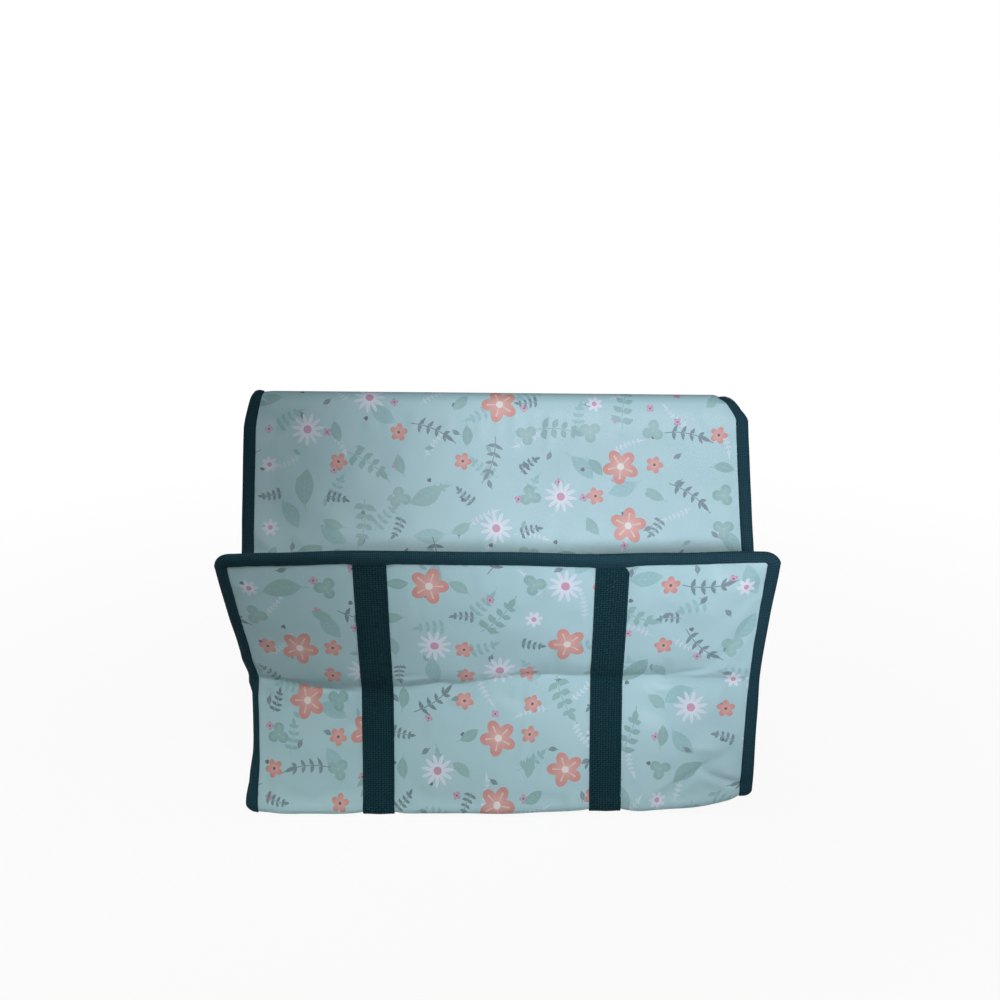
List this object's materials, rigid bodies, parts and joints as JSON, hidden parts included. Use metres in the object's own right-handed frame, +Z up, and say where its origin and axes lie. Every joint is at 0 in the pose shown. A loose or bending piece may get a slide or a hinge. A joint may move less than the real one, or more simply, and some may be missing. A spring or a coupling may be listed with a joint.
{
  "type": "insulated grocery tote",
  "caption": "Soft insulated shopping tote with a printed cloth shell, dark bound seams, webbing straps, carrying handles and a lid that continues the back panel and tucks in behind the front.",
  "frame": {"origin": "middle of the footprint's bounding box, on the floor under the base straps", "axes": "+X across the bag to the right as seen from the front, +Y from the front panel to the back, +Z up"},
  "size_m": [0.496, 0.232, 0.3671],
  "materials": {
    "printed_cloth": "laminated woven cloth with a small all-over print",
    "foam": "closed-cell foam sheet",
    "foil_lining": "metallised film",
    "binding_tape": "matte woven binding tape",
    "webbing": "matte woven webbing"
  },
  "bodies": {
    "bag": {"front_outer": "printed_cloth", "front_foam": "foam", "front_lining": "foil_lining", "back_outer": "printed_cloth", "back_foam": "foam", "back_lining": "foil_lining", "left_gusset_outer": "printed_cloth", "left_gusset_foam": "foam", "left_gusset_lining": "foil_lining", "right_gusset_outer": "printed_cloth", "right_gusset_foam": "foam", "right_gusset_lining": "foil_lining", "base_outer": "printed_cloth", "base_foam": "foam", "base_lining": "foil_lining", "fold_outer": "printed_cloth", "fold_foam": "foam", "fold_lining": "foil_lining", "front_binding": "binding_tape", "left_gusset_binding": "binding_tape", "back_left_binding": "binding_tape", "fold_left_binding": "binding_tape", "base_left_binding": "binding_tape", "front_left_strap": "webbing", "base_left_strap": "webbing", "back_left_strap": "webbing", "right_gusset_binding": "binding_tape", "back_right_binding": "binding_tape", "fold_right_binding": "binding_tape", "base_right_binding": "binding_tape", "front_right_strap": "webbing", "base_right_strap": "webbing", "back_right_strap": "webbing"},
    "lid": {"lid_outer": "printed_cloth", "lid_foam": "foam", "lid_lining": "foil_lining", "lid_binding": "binding_tape"},
    "front_handle": {"front_handle": "webbing"},
    "back_handle": {"back_handle": "webbing"}
  },
  "joints": [
    {"name": "lid_hinge", "type": "hinge", "parent": "bag", "child": "lid", "pos_m": [0, 0.0661, 0.366], "axis": [-1, 0, 0], "range_deg": [0, 175], "deforming": ["fold_outer", "fold_foam", "fold_lining", "fold_left_binding", "fold_right_binding"]},
    {"name": "front_handle_swing", "type": "hinge", "parent": "bag", "child": "front_handle", "pos_m": [-0.006, -0.10436, 0.2508], "axis": [1, 0, 0], "range_deg": [0, 150]},
    {"name": "back_handle_swing", "type": "hinge", "parent": "bag", "child": "back_handle", "pos_m": [-0.006, 0.0832, 0.2508], "axis": [1, 0, 0], "range_deg": [0, 150]}
  ]
}
